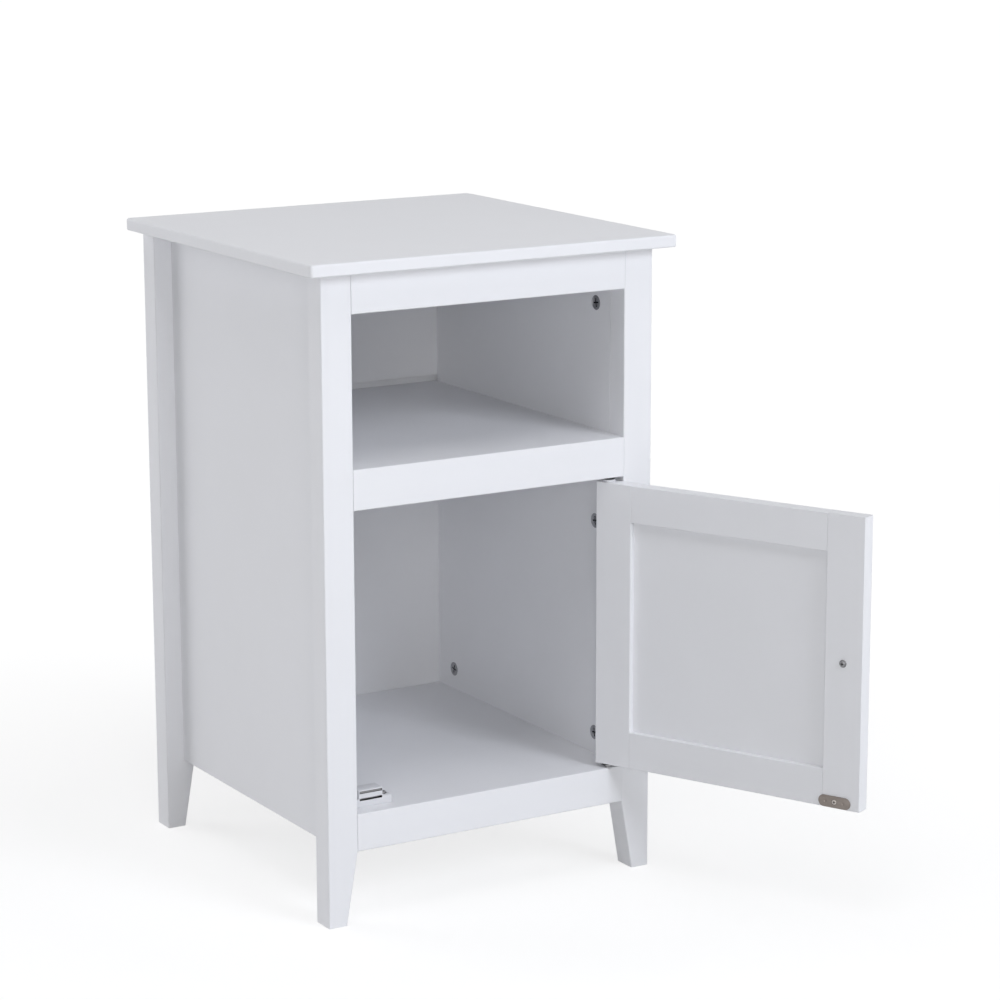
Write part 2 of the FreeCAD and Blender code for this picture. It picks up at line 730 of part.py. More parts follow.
def make_door_frame():
    outer = "-pivot_from_front"
    inner = "door_inner_face"

    def stile_profile(edge, groove_side, inwards):
        floor = f"{along(-inwards, 'door_groove_depth')} + {groove_side}"
        return [
            (edge, outer), (groove_side, outer),
            (groove_side, "groove_front"), (floor, "groove_front"),
            (floor, "groove_back"), (groove_side, "groove_back"),
            (groove_side, inner), (edge, inner),
        ]

    hinge_stile = door_member(
        "door_hinge_stile", stile_profile("pivot_from_edge", "hinge_stile_inner", -1),
        "XY", "door_lower", "door_height")
    for level, upwards in (("door_lower", True), ("door_upper", False)):
        bore = new_sketch(hinge_stile, "XY", level)
        circle(bore, 0, 0, "bush_barrel_diameter + 2 * bore_gap")
        pocket(hinge_stile, bore, "bush_barrel_length + bore_gap", backwards=upwards)
    hang(hinge_stile)

    free_stile = door_member(
        "door_free_stile", stile_profile("door_free_edge", "free_stile_inner", 1),
        "XY", "door_lower", "door_height")
    shank_bore(free_stile, "knob_screw_diameter", "door_thickness", "-y",
               "knob_middle", inner, "door_middle_level")
    shank_bore(free_stile, "strike_screw_diameter", "strike_screw_length - strike_thickness",
               "-y", "strike_middle", inner, "strike_middle_level")
    hang(free_stile)

    rail_length = "hinge_stile_inner - free_stile_inner"
    for name, outside, groove_side, inwards in (
            ("door_bottom_rail", "door_lower", "door_lower + door_rail_width", 1),
            ("door_top_rail", "door_upper", "door_upper - door_rail_width", -1)):
        floor = f"{along(-inwards, 'door_groove_depth')} + {groove_side}"
        rail = door_member(name, [
            (outer, outside), (inner, outside), (inner, groove_side),
            ("groove_back", groove_side), ("groove_back", floor),
            ("groove_front", floor), ("groove_front", groove_side), (outer, groove_side),
        ], "YZ", "free_stile_inner", rail_length)
        for start in ("free_stile_inner - door_groove_depth", "hinge_stile_inner"):
            tenon = new_sketch(rail, "YZ", start)
            rectangle(tenon, "groove_front", outside, "groove_back", floor)
            pad(rail, tenon, "door_groove_depth")
        hang(rail)


def make_door_panel():
    panel = new_body("door_panel")
    sketch = new_sketch(panel, "XZ", "-groove_front")
    let_in = "(door_groove_depth - door_groove_gap)"
    rectangle(
        sketch,
        f"free_stile_inner - {let_in}", f"door_lower + door_rail_width - {let_in}",
        f"hinge_stile_inner + {let_in}", f"door_upper - door_rail_width + {let_in}")
    pad(panel, sketch, "door_panel_thickness", backwards=True)
    hang(panel)


# ------------------------------------------------------------------------------------- door pivots
def make_pivots():
    """Pins in the rails and flanged bushes in the door, on one vertical axis."""
    collar = "door_end_gap - bush_flange_thickness - pivot_play"
    tip = "door_end_gap + pin_tip_length"
    upright = FreeCAD.Rotation()
    upside_down = FreeCAD.Rotation(FreeCAD.Vector(1, 0, 0), 180)

    # a pin stands on its collar, with its shank in the rail below
    pin = new_body("pin_master")
    revolve(pin, [
        (0, "-pin_shank_length"),
        ("pin_diameter / 2", "-pin_shank_length"),
        ("pin_diameter / 2", 0),
        ("pin_collar_diameter / 2", 0),
        ("pin_collar_diameter / 2", collar),
        ("pin_diameter / 2", collar),
        ("pin_diameter / 2", tip),
        (0, tip),
    ])
    doc.recompute()
    NODES.append(copies("pivot_pins", pin, [
        ("pivot_x", "pivot_y", "bottom_level", upright),
        ("pivot_x", "pivot_y", "door_opening_top", upside_down)]))

    # a bush hangs on its flange, with its barrel in the door above
    bush = new_body("bush_master")
    bore = "pin_diameter / 2 + pivot_running_gap"
    revolve(bush, [
        (bore, "-bush_flange_thickness"),
        ("bush_flange_diameter / 2", "-bush_flange_thickness"),
        ("bush_flange_diameter / 2", 0),
        ("bush_barrel_diameter / 2", 0),
        ("bush_barrel_diameter / 2", "bush_barrel_length"),
        (0, "bush_barrel_length"),
        (0, "pin_tip_length + pivot_play"),
        (bore, "pin_tip_length + pivot_play"),
    ])
    doc.recompute()
    hang(copies("pivot_bushes", bush, [
        (0, 0, "door_lower", upright), (0, 0, "door_upper", upside_down)]))


# ------------------------------------------------------------------------------ knob and its screw
def make_knob():
    """A turned knob on the outer face of the door, and the screw that holds it from inside."""
    knob = new_body("knob")
    foot = "-pivot_from_front"
    neck_start = f"{foot} - knob_base_thickness"
    crown = f"{foot} - knob_projection"
    under = f"{crown} + knob_head_thickness"
    revolve(knob, [
        (0, foot),
        ("knob_base_diameter / 2", foot),
        ("knob_base_diameter / 2", neck_start),
        ("knob_neck_diameter / 2", neck_start),
        ("knob_neck_diameter / 2", under),
        ("knob_diameter / 2", under),
        ("knob_diameter / 2", f"{crown} + knob_crown_rise"),
        ("knob_crown_diameter / 2", crown),
        (0, crown),
    ], plane="XY", lift="door_middle_level", shift="knob_middle")
    shank_bore(knob, "knob_screw_diameter", "knob_screw_bite", "-y",
               "knob_middle", foot, "door_middle_level")
    hang(knob)

    screw = new_body("knob_screw")
    prism(screw, "Additive", SHANK_SIDES, "knob_screw_diameter",
          "door_thickness + knob_screw_bite", "-y",
          "knob_middle", "door_inner_face", "door_middle_level")
    head = new_sketch(screw, "XZ", "-door_inner_face")
    circle(head, "knob_middle", "door_middle_level", "knob_screw_head_diameter")
    pad(screw, head, "knob_screw_head_thickness", backwards=True)
    hang(screw)


# -------------------------------------------------------------------------------- strike plate
def make_strike():
    """A plate with round ends on the inner face of the door, and its countersunk screw."""
    plate = new_body("strike_plate")
    sketch = new_sketch(plate, "XZ", "-door_inner_face")
    slot(sketch, "strike_middle", "strike_middle_level", "strike_length", "strike_height")
    pad(plate, sketch, "strike_thickness", backwards=True)
    outer_face = "door_inner_face + strike_thickness"
    outer_y = number(outer_face)
    hole = new_sketch(plate, "XZ", "-door_inner_face")
    circle(hole, "strike_middle", "strike_middle_level", "strike_screw_diameter + 2 * bore_gap")
    pocket(plate, hole, "strike_thickness")
    hole_radius = number("strike_screw_diameter / 2 + bore_gap")
    round_edges(plate, "strike_screw_head_height",
                lambda edge: edge.BoundBox.YMin > outer_y - 0.01
                and abs(edge.BoundBox.ZLength / 2 - hole_radius) < 0.01, "Chamfer")
    hang(plate)

    screw = new_body("strike_screw")
    neck = "-strike_screw_head_height"
    revolve(screw, [
        (0, neck), ("strike_screw_diameter / 2", neck), ("strike_screw_head_diameter / 2", 0), (0, 0),
    ], plane="XY", lift="strike_middle_level", shift="strike_middle", rise=outer_face)
    prism(screw, "Additive", SHANK_SIDES, "strike_screw_diameter",
          "strike_screw_length - strike_screw_head_height", "-y",
          "strike_middle", f"{outer_face} - strike_screw_head_height", "strike_middle_level")
    hang(screw)


# ------------------------------------------------------------------------------- magnetic catch
def make_catch(board):
    """A magnetic catch on the bottom board. Its own origin is at its front, in its middle."""
    catch = new_body("catch_body")
    half = "catch_length / 2"
    block = "catch_block_length / 2"
    profile = new_sketch(catch, "XZ")
    outline(profile, [
        (f"-{half}", 0), (half, 0), (half, "catch_ear_height"), (block, "catch_ear_height"),
        (block, "catch_height"), (f"-{block}", "catch_height"),
        (f"-{block}", "catch_ear_height"), (f"-{half}", "catch_ear_height"),
    ])
    pad(catch, profile, "catch_depth", backwards=True)
    ear_top = number("catch_ear_height")
    block_side = number(block)

    def outer_corner(edge):
        box = edge.BoundBox
        inner_corner = abs(box.ZMin - ear_top) < 0.01 and abs(abs(box.XMin) - block_side) < 0.01
        return runs_along(edge, "y") and box.ZMin > 0.01 and not inner_corner
    round_edges(catch, "catch_edge_bevel", outer_corner, "Chamfer")

    # room for the magnet and its poles, open at the back, with a slot for each pole in front
    lower = "pole_first_lift - catch_fit_gap"
    upper = "pole_first_lift + pole_pitch + pole_thickness + catch_fit_gap"
    room = "(pole_length / 2 + catch_fit_gap)"
    cavity = new_sketch(catch, "XZ", "-catch_depth")
    rectangle(cavity, f"-{room}", lower, room, upper)
    pocket(catch, cavity, "catch_depth - catch_wall", backwards=True)
    slots = new_sketch(catch, "XZ")
    for step in range(2):
        pole = f"pole_first_lift + {step} * pole_pitch"
        rectangle(slots, f"-{room}", f"{pole} - catch_fit_gap",
                  room, f"{pole} + pole_thickness + catch_fit_gap")
    pocket(catch, slots, "catch_wall")
    ear_middle = f"({block} + catch_ear_length / 2)"
    for sign in "-+":
        shank_bore(catch, "catch_screw_diameter", "catch_ear_height", "-z",
                   f"{sign}{ear_middle}", "catch_depth / 2", "catch_ear_height")
    put(catch, "catch_middle", "catch_front", "bottom_level")
    NODES.append(catch)

    pole = new_body("pole_master")
    strip = new_sketch(pole, "XY")
    rectangle(strip, "-pole_length / 2", 0, "pole_length / 2", "pole_depth")
    pad(pole, strip, "pole_thickness")
    doc.recompute()
    upright = FreeCAD.Rotation()
    NODES.append(copies("catch_pole_plates", pole, [
        ("catch_middle", "pole_front", f"bottom_level + pole_first_lift + {step} * pole_pitch",
         upright) for step in range(2)]))

    magnet = new_body("catch_magnet")
    block_outline = new_sketch(magnet, "XY")
    rectangle(block_outline, "-pole_length / 2", "catch_wall + catch_fit_gap",
              "pole_length / 2", "pole_depth - pole_projection")
    pad(magnet, block_outline, "pole_pitch - pole_thickness")
    put(magnet, "catch_middle", "catch_front",
        "bottom_level + pole_first_lift + pole_thickness")
    NODES.append(magnet)

    # screws through the ears into the board
    for sign in "-+":
        shank_bore(board, "catch_screw_diameter", "catch_screw_length - catch_ear_height", "-z",
                   f"catch_middle {sign} {ear_middle}", "catch_front + catch_depth / 2",
                   "bottom_level")
    screw = new_body("catch_screw_master")
    prism(screw, "Additive", SHANK_SIDES, "catch_screw_diameter", "catch_screw_length", "-z")
    head = new_sketch(screw, "XY")
    circle(head, 0, 0, "catch_screw_head_diameter")
    pad(screw, head, "catch_screw_head_thickness")
    doc.recompute()
    NODES.append(copies("catch_screws", screw, [
        (f"catch_middle {sign} {ear_middle}", "catch_front + catch_depth / 2",
         "bottom_level + catch_ear_height", upright) for sign in "-+"]))


# -------------------------------------------------------------------------------- the whole table
make_top()
for side_name, side in SIDES:
    for end in ("front", "back"):
        make_leg(end, side_name, side)
    make_side_panel(side_name, side)

shelf_groove = "shelf_level - board_middle_drop"
bottom_groove = "bottom_level - board_middle_drop"
fronts = rail_levels()
make_rail("top_front_rail", "front", *fronts["top"])
bore_pivot(make_rail("shelf_front_rail", "front", *fronts["shelf"], shelf_groove),
           "door_opening_top", upwards=True)
bore_pivot(make_rail("bottom_front_rail", "front", *fronts["bottom"], bottom_groove),
           "bottom_level", upwards=False)
backs = back_rail_levels()
make_rail("top_back_rail", "back", *backs["top"])
make_rail("shelf_back_rail", "back", *backs["shelf"], shelf_groove)
make_rail("bottom_back_rail", "back", *backs["bottom"], bottom_groove)

make_board("shelf_panel", "shelf_level")
bottom_board = make_board("bottom_panel", "bottom_level")
make_back_panel("lower_back_panel", "bottom_level", "shelf_level - board_thickness")
make_back_panel("upper_back_panel", "upper_back_lower", "top_underside")
make_cam_fittings()
make_door_frame()
make_door_panel()
make_pivots()
make_knob()
make_strike()
make_catch(bottom_board)

# ----------------------------------------------------------------------------- checks and files
doc.recompute()
faults = [item.Name for item in doc.Objects if "Invalid" in item.State or "Error" in item.State]
faults += [node.Label for node in NODES if node.Shape.isNull() or not node.Shape.isValid()]
if faults:
    raise RuntimeError("these failed: " + ", ".join(faults))
os.makedirs("parts", exist_ok=True)
for node in NODES:
    node.Shape.exportStep(f"parts/{node.Label}.step")
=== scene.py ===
import json
import math

import bmesh
import bpy
from mathutils import Matrix, Vector


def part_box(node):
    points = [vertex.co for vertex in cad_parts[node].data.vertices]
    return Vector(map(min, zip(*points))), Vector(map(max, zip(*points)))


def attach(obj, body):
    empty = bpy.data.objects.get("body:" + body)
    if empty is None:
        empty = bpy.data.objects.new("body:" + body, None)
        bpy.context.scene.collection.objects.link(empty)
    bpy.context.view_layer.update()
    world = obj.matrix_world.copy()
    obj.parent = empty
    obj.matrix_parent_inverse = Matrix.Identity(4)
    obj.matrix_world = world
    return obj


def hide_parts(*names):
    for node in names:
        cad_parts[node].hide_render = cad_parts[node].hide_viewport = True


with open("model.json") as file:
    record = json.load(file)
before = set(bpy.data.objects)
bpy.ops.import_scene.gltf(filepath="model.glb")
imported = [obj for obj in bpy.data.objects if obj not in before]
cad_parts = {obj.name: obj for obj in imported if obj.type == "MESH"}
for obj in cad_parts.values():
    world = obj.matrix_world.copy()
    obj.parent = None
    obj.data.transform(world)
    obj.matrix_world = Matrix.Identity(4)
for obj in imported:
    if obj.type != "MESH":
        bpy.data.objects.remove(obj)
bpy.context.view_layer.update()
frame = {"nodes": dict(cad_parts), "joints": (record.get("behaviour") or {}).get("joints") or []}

# A painted side table: finishes for the boards and rails, and detailed fittings. Fittings are drawn
# in millimetres and put into the frame in metres.
MM = 0.001
MERGE_DISTANCE = 0.000002
SHARP_ANGLE = math.radians(35.0)
nodes = frame["nodes"]
hinge = frame["joints"][0]
OPEN_ANGLE = math.radians(-hinge["range_deg"][0])


# -------------------------------------------------------------------------------- shader helpers
def add(tree, kind, inputs=None, **settings):
    """Add a shader node. An input is a plain value, or the socket that feeds it."""
    made = tree.nodes.new(kind)
    for name, value in settings.items():
        setattr(made, name, value)
    for name, value in (inputs or {}).items():
        if isinstance(value, bpy.types.NodeSocket):
            tree.links.new(value, made.inputs[name])
        else:
            made.inputs[name].default_value = value
    return made


def maths(tree, operation, first, second=0.0, third=0.0):
    """The result of a Math node."""
    made = add(tree, "ShaderNodeMath", {0: first, 1: second, 2: third}, operation=operation)
    return made.outputs[0]


def spread(tree, value, low, high):
    """Take a value from 0..1 to low..high."""
    return add(tree, "ShaderNodeMapRange", {"Value": value, "To Min": low, "To Max": high}).outputs[0]


def mixed(tree, share, first, second):
    """Mix two colours."""
    made = add(tree, "ShaderNodeMix", data_type="RGBA")
    for socket, value in ((made.inputs[0], share), (made.inputs[6], first), (made.inputs[7], second)):
        if isinstance(value, bpy.types.NodeSocket):
            tree.links.new(value, socket)
        else:
            socket.default_value = value
    return made.outputs[2]


def new_group(name, inputs, outputs):
    """A shader node group. Gives its tree, its input sockets and its output node."""
    tree = bpy.data.node_groups.new(name, "ShaderNodeTree")
    for label, value in inputs.items():
        kind = "NodeSocketVector" if isinstance(value, tuple) else "NodeSocketFloat"
        tree.interface.new_socket(label, in_out="INPUT", socket_type=kind).default_value = value
    for label in outputs:
        kind = "NodeSocketVector" if label == "Normal" else "NodeSocketFloat"
        tree.interface.new_socket(label, in_out="OUTPUT", socket_type=kind)
    return tree, tree.nodes.new("NodeGroupInput").outputs, tree.nodes.new("NodeGroupOutput")


def use_group(tree, group, inputs):
    """Place a node group in a material and give its outputs."""
    return add(tree, "ShaderNodeGroup", inputs, node_tree=group).outputs


def local_place(tree, turn, stretch):
    """Position on the piece in metres, turned and stretched."""
    place = add(tree, "ShaderNodeTexCoord").outputs["Object"]
    turned = add(tree, "ShaderNodeMapping", {"Vector": place, "Rotation": turn}).outputs[0]
    return add(tree, "ShaderNodeMapping", {"Vector": turned, "Scale": stretch}).outputs[0]


# ---------------------------------------------------------------------- effects shared by finishes
def make_stipple():
    """The fine orange peel of sprayed paint or of a moulded surface."""
    tree, given, result = new_group("Stipple", {"Grains per metre": 700.0}, ["Height", "Tone"])
    place = add(tree, "ShaderNodeTexCoord").outputs["Object"]
    fine = add(tree, "ShaderNodeTexNoise", {
        "Vector": place, "Scale": given["Grains per metre"], "Detail": 3.0, "Roughness": 0.55})
    broad = add(tree, "ShaderNodeTexNoise", {"Vector": place, "Scale": 14.0, "Detail": 4.0})
    tree.links.new(fine.outputs[0], result.inputs["Height"])
    tree.links.new(broad.outputs[0], result.inputs["Tone"])
    return tree


def make_long_grain():
    """Long streaks: wood grain that shows through paint, or the lines of a brushed metal."""
    tree, given, result = new_group(
        "Long grain",
        {"Turn": (0.0, 0.0, 0.0), "Stretch": (1.0, 1.0, 1.0), "Streaks per metre": 300.0},
        ["Height", "Tone"])
    place = local_place(tree, given["Turn"], given["Stretch"])
    streaks = add(tree, "ShaderNodeTexNoise", {
        "Vector": place, "Scale": given["Streaks per metre"], "Detail": 5.0, "Roughness": 0.6,
        "Distortion": 0.3})
    bands = add(tree, "ShaderNodeTexNoise", {
        "Vector": place, "Scale": maths(tree, "MULTIPLY", given["Streaks per metre"], 0.2)})
    tree.links.new(streaks.outputs[0], result.inputs["Height"])
    tree.links.new(bands.outputs[0], result.inputs["Tone"])
    return tree


def make_soft_edge():
    """Rounds the normal over edges, and gives 1 along them, broken up by noise, where a finish thins. On
    white paint this mask also places a painted highlight.
    """
    tree, given, result = new_group(
        "Soft edge", {"Radius": 0.001, "Patches per metre": 40.0}, ["Normal", "Edge"])
    rounded_normal = add(tree, "ShaderNodeBevel", {"Radius": given["Radius"]}, samples=8).outputs[0]
    flat_normal = add(tree, "ShaderNodeNewGeometry").outputs["Normal"]
    alike = add(tree, "ShaderNodeVectorMath", {0: rounded_normal, 1: flat_normal},
                operation="DOT_PRODUCT").outputs["Value"]
    turned_away = add(tree, "ShaderNodeMapRange",
                      {"Value": alike, "From Min": 0.99, "From Max": 0.86}).outputs[0]
    place = add(tree, "ShaderNodeTexCoord").outputs["Object"]
    patches = add(tree, "ShaderNodeTexNoise", {"Vector": place, "Scale": given["Patches per metre"]})
    broken = spread(tree, patches.outputs[0], 0.35, 1.0)
    tree.links.new(maths(tree, "MULTIPLY", turned_away, broken), result.inputs["Edge"])
    tree.links.new(rounded_normal, result.inputs["Normal"])
    return tree


stipple = make_stipple()
long_grain = make_long_grain()
soft_edge = make_soft_edge()


# -------------------------------------------------------------------------------------- finishes
def new_finish(name):
    """A new material. Gives it with its tree and its Principled shader."""
    material = bpy.data.materials.new(name)
    material.use_nodes = True
    tree = material.node_tree
    return material, tree, tree.nodes["Principled BSDF"]


def bump(tree, shader, height, depth, normal):
    """Raise the surface by a height from 0 to 1, depth metres high."""
    made = add(tree, "ShaderNodeBump", {
        "Height": height, "Distance": depth, "Strength": 1.0, "Normal": normal})
    tree.links.new(made.outputs[0], shader.inputs["Normal"])


def shade(colour, share):
    """A colour made darker or lighter by a share."""
    return tuple(share * part for part in colour[:3]) + (1.0,)


PAINT = (0.857, 0.861, 0.884, 1.0)
PAINT_ROUGHNESS = (0.36, 0.5)
PAINT_RELIEF = 0.00003
PAINT_EDGE_RADIUS = 0.0007
FINE_EDGE = {"Radius": 0.0003, "Patches per metre": 300.0}


def white_paint(name, stretch=None, turn=0.0):
    """Satin white paint: on wood its long grain shows a little, on board only the stipple."""
    material, tree, shader = new_finish(name)
    spray = use_group(tree, stipple, {"Grains per metre": 900.0})
    edge = use_group(tree, soft_edge, {"Radius": PAINT_EDGE_RADIUS, "Patches per metre": 60.0})
    height = maths(tree, "MULTIPLY", spray["Height"], 0.5)
    tone = spray["Tone"]
    if stretch:
        wood = use_group(tree, long_grain, {
            "Turn": (0.0, 0.0, turn), "Stretch": stretch, "Streaks per metre": 420.0})
        height = maths(tree, "MULTIPLY_ADD", wood["Height"], 0.7, height)
        tone = maths(tree, "MULTIPLY_ADD", wood["Tone"], 0.5, maths(tree, "MULTIPLY", tone, 0.5))
    mottled = mixed(tree, spread(tree, tone, 0.0, 1.0), shade(PAINT, 0.98), shade(PAINT, 1.02))
    # Lighter along edges: partly thinner paint, partly a painted highlight on the rounded arrises.
    thin = mixed(tree, maths(tree, "MULTIPLY", edge["Edge"], 0.3), mottled, shade(PAINT, 1.06))
    tree.links.new(thin, shader.inputs["Base Color"])
    tree.links.new(spread(tree, tone, *PAINT_ROUGHNESS), shader.inputs["Roughness"])
    shader.inputs["Specular IOR Level"].default_value = 0.45
    bump(tree, shader, height, PAINT_RELIEF, edge["Normal"])
    return material


def metal(name, colour, roughness, stretch, turn=0.0, streaks=1500.0, depth=0.000006, dark_spots=0.75):
    """A plated or brushed metal, with lines along one way and a brighter edge.

    Depth is the relief of the lines in metres, dark_spots the tone of its darkest patches.
    """
    material, tree, shader = new_finish(name)
    lines = use_group(tree, long_grain, {
        "Turn": (0.0, 0.0, turn), "Stretch": stretch, "Streaks per metre": streaks})
    edge = use_group(tree, soft_edge, FINE_EDGE)
    body = mixed(tree, spread(tree, lines["Tone"], 0.0, 1.0), shade(colour, dark_spots), colour)
    bright = mixed(tree, maths(tree, "MULTIPLY", edge["Edge"], 0.5), body, shade(colour, 1.5))
    tree.links.new(bright, shader.inputs["Base Color"])
    shader.inputs["Metallic"].default_value = 1.0
    rough = spread(tree, lines["Height"], roughness - 0.08, roughness + 0.1)
    tree.links.new(rough, shader.inputs["Roughness"])
    bump(tree, shader, lines["Height"], depth, edge["Normal"])
    return material


def moulded(name, colour, roughness, grains, depth):
    """A moulded or pressed material with a fine even texture."""
    material, tree, shader = new_finish(name)
    skin = use_group(tree, stipple, {"Grains per metre": grains})
    edge = use_group(tree, soft_edge, FINE_EDGE)
    body = mixed(tree, skin["Tone"], shade(colour, 0.9), colour)
    pale = mixed(tree, maths(tree, "MULTIPLY", edge["Edge"], 0.35), body, shade(colour, 1.25))
    tree.links.new(pale, shader.inputs["Base Color"])
    tree.links.new(spread(tree, skin["Height"], roughness - 0.06, roughness + 0.08),
                   shader.inputs["Roughness"])
    bump(tree, shader, skin["Height"], depth, edge["Normal"])
    return material


UPRIGHT = (1.0, 1.0, 0.03)
ACROSS = (0.03, 1.0, 1.0)
EVEN = (1.0, 1.0, 1.0)

board_paint = white_paint("white paint on board")
upright_paint = white_paint("white paint on upright wood", UPRIGHT)
rail_paint = white_paint("white paint on rails", ACROSS)
door_rail_paint = white_paint("white paint on door rails", ACROSS, -OPEN_ANGLE)
zinc = metal("dark zinc casting", (0.45, 0.45, 0.475, 1.0), 0.34, EVEN, streaks=900.0, depth=0.00002)
steel = metal("zinc plated steel", (0.56, 0.56, 0.57, 1.0), 0.3, EVEN, streaks=500.0)
nickel = metal("brushed nickel", (0.6, 0.57, 0.52, 1.0), 0.3, (1.0, 1.0, 0.05))
# Painted dark reflection: this screw steel is darkened to stand for the dark surroundings its head would
# mirror.
screw_steel_painted_dark = metal("screw steel with painted dark reflection", (0.3, 0.3, 0.31, 1.0), 0.3, EVEN, streaks=700.0)
# Painted shade: a near-black metal for faces in recesses and on flange sides, where shade falls.
painted_recess_shade = metal("painted shade in recesses", (0.045, 0.045, 0.05, 1.0), 0.5, EVEN, streaks=700.0)
strike_metal = metal("aged nickel plate", (0.29, 0.255, 0.232, 1.0), 0.38, (0.35, 1.0, 1.0), -OPEN_ANGLE,
                     streaks=900.0, depth=0.00002, dark_spots=0.6)
strike_screw_metal = metal("worn nickel screw", (0.6, 0.55, 0.51, 1.0), 0.3, EVEN, streaks=900.0)
pole_steel = metal("ground pole steel", (0.3, 0.3, 0.305, 1.0), 0.35, (0.05, 1.0, 1.0), streaks=900.0)
nylon = moulded("black nylon", (0.018, 0.018, 0.02, 1.0), 0.5, 2500.0, 0.00001)
white_plastic = moulded("white plastic", (0.74, 0.745, 0.77, 1.0), 0.35, 1500.0, 0.00001)
ferrite = moulded("ferrite magnet", (0.05, 0.05, 0.052, 1.0), 0.6, 1800.0, 0.00003)

FINISHES = (
    (board_paint, ("top_panel", "left_side_panel", "right_side_panel", "shelf_panel", "bottom_panel",
                   "upper_back_panel", "lower_back_panel", "door_panel")),
    (upright_paint, ("front_left_leg", "front_right_leg", "back_left_leg", "back_right_leg",
                     "door_hinge_stile", "door_free_stile")),
    (rail_paint, ("top_front_rail", "shelf_front_rail", "bottom_front_rail",
                  "top_back_rail", "shelf_back_rail", "bottom_back_rail")),
    (door_rail_paint, ("door_top_rail", "door_bottom_rail")),
    (zinc, ("side_cam_locks", "top_cam_locks")),
    (steel, ("side_cam_bolts", "top_cam_bolts", "pivot_pins")),
    (nylon, ("pivot_bushes",)),
    (white_plastic, ("catch_body",)),
    (pole_steel, ("catch_pole_plates",)),
    (ferrite, ("catch_magnet",)),
    (screw_steel_painted_dark, ("catch_screws", "knob_screw")),
    (nickel, ("knob",)),
    (strike_metal, ("strike_plate",)),
    (strike_screw_metal, ("strike_screw",)),
)
for finish, names in FINISHES:
    for name in names:
        nodes[name].data.materials.clear()
        nodes[name].data.materials.append(finish)


# --------------------------------------------------------------------------------- mesh helpers
def rounded(points, radius, steps=4):
    """Round the corners of an open 2-D outline by short curves. Its ends stay."""
    made = []
    last = len(points) - 1
    for k, point in enumerate(points):
        if k in (0, last):
            made.append(Vector(point))
            continue
        before, after = Vector(points[k - 1]), Vector(points[k + 1])
        corner = Vector(point)
        reach = min(radius, (before - corner).length * 0.45, (after - corner).length * 0.45)
        start = corner + (before - corner).normalized() * reach
        end = corner + (after - corner).normalized() * reach
        for step in range(steps + 1):
            t = step / steps
            made.append(start.lerp(corner, t).lerp(corner.lerp(end, t), t))
    return made


def lathe(profile, sides=48):
    """A closed solid of (radius, height) points turned about Z. The first and last lie on the axis."""
    bm = bmesh.new()
    rings = []
    for radius, height in profile:
        count = 1 if radius < 1e-6 else sides
        turns = [2 * math.pi * k / sides for k in range(count)]
        rings.append([bm.verts.new((radius * math.cos(a), radius * math.sin(a), height)) for a in turns])
    for low, high in zip(rings, rings[1:]):
        for k in range(sides):
            corners = []
            for ring, step in ((low, k), (low, k + 1), (high, k + 1), (high, k)):
                vertex = ring[step % len(ring)]
                if vertex not in corners:
                    corners.append(vertex)
            bm.faces.new(corners)
    bmesh.ops.recalc_face_normals(bm, faces=bm.faces)
    return bm


def prism(outline, low, high, taper=1.0):
    """A solid with a 2-D outline, from low to high in Z. Taper shrinks its lower end."""
    bm = bmesh.new()
    lower = [bm.verts.new((x * taper, y * taper, low)) for x, y in outline]
    upper = [bm.verts.new((x, y, high)) for x, y in outline]
    bm.faces.new(lower[::-1])
    bm.faces.new(upper)
    for k, corner in enumerate(lower):
        following = (k + 1) % len(lower)
        bm.faces.new((corner, lower[following], upper[following], upper[k]))
    bmesh.ops.recalc_face_normals(bm, faces=bm.faces)
    return bm


def cross(reach, width):
    """The outline of a cross recess."""
    half = width / 2
    arm = [(reach, -half), (reach, half), (half, half)]
    quarter_turns = [Matrix.Rotation(math.pi / 2 * k, 2) for k in range(4)]
    return [turn @ Vector(point) for turn in quarter_turns for point in arm]


def rectangle(width, height, x=0.0, y=0.0):
    """The outline of a rectangle round a point."""
    half_x, half_y = width / 2, height / 2
    return [(x - half_x, y - half_y), (x + half_x, y - half_y),
            (x + half_x, y + half_y), (x - half_x, y + half_y)]


def as_object(name, bm):
    """Turn a bmesh into an object of the scene."""
    mesh = bpy.data.meshes.new(name)
    bm.to_mesh(mesh)
    bm.free()
    made = bpy.data.objects.new(name, mesh)
    bpy.context.scene.collection.objects.link(made)
    return made


def applied(item):
    """Make an object's modifiers part of its mesh."""
    graph = bpy.context.evaluated_depsgraph_get()
    mesh = bpy.data.meshes.new_from_object(item.evaluated_get(graph))
    item.modifiers.clear()
    item.data = mesh
    return item


def carved(bm, *cutters):
    """Cut solids out of a solid. Each cutter is a bmesh."""
    body = as_object("body", bm)
    tools = [as_object("cutter", cutter) for cutter in cutters]
    for tool in tools:
        cut = body.modifiers.new("cut", "BOOLEAN")
        cut.operation = "DIFFERENCE"
        cut.solver = "EXACT"
        cut.object = tool
    applied(body)
    made = bmesh.new()
    made.from_mesh(body.data)
    for thing in [body] + tools:
        bpy.data.objects.remove(thing)
    return made


def softened(bm, width, segments=2, angle=40.0):
    """Round every edge that is sharper than the angle."""
    limit = math.radians(angle)
    edges = [edge for edge in bm.edges if len(edge.link_faces) == 2 and edge.calc_face_angle() > limit]
    bmesh.ops.bevel(bm, geom=edges, offset=width, segments=segments, profile=0.5, affect="EDGES",
                    clamp_overlap=True)
    return bm


def moved(bm, *turns):
    """Put a bmesh through one or more transforms."""
    for turn in turns:
        bmesh.ops.transform(bm, matrix=turn, verts=bm.verts)
    return bm


def joined(*parts):
    """One bmesh of several."""
    whole = bmesh.new()
    for part in parts:
        mesh = bpy.data.meshes.new("part")
        part.to_mesh(mesh)
        whole.from_mesh(mesh)
        part.free()
        bpy.data.meshes.remove(mesh)
    return whole


def copies(bm, places):
    """The same solid at several places."""
    made = joined(*[moved(bm.copy(), place) for place in places])
    bm.free()
    return made


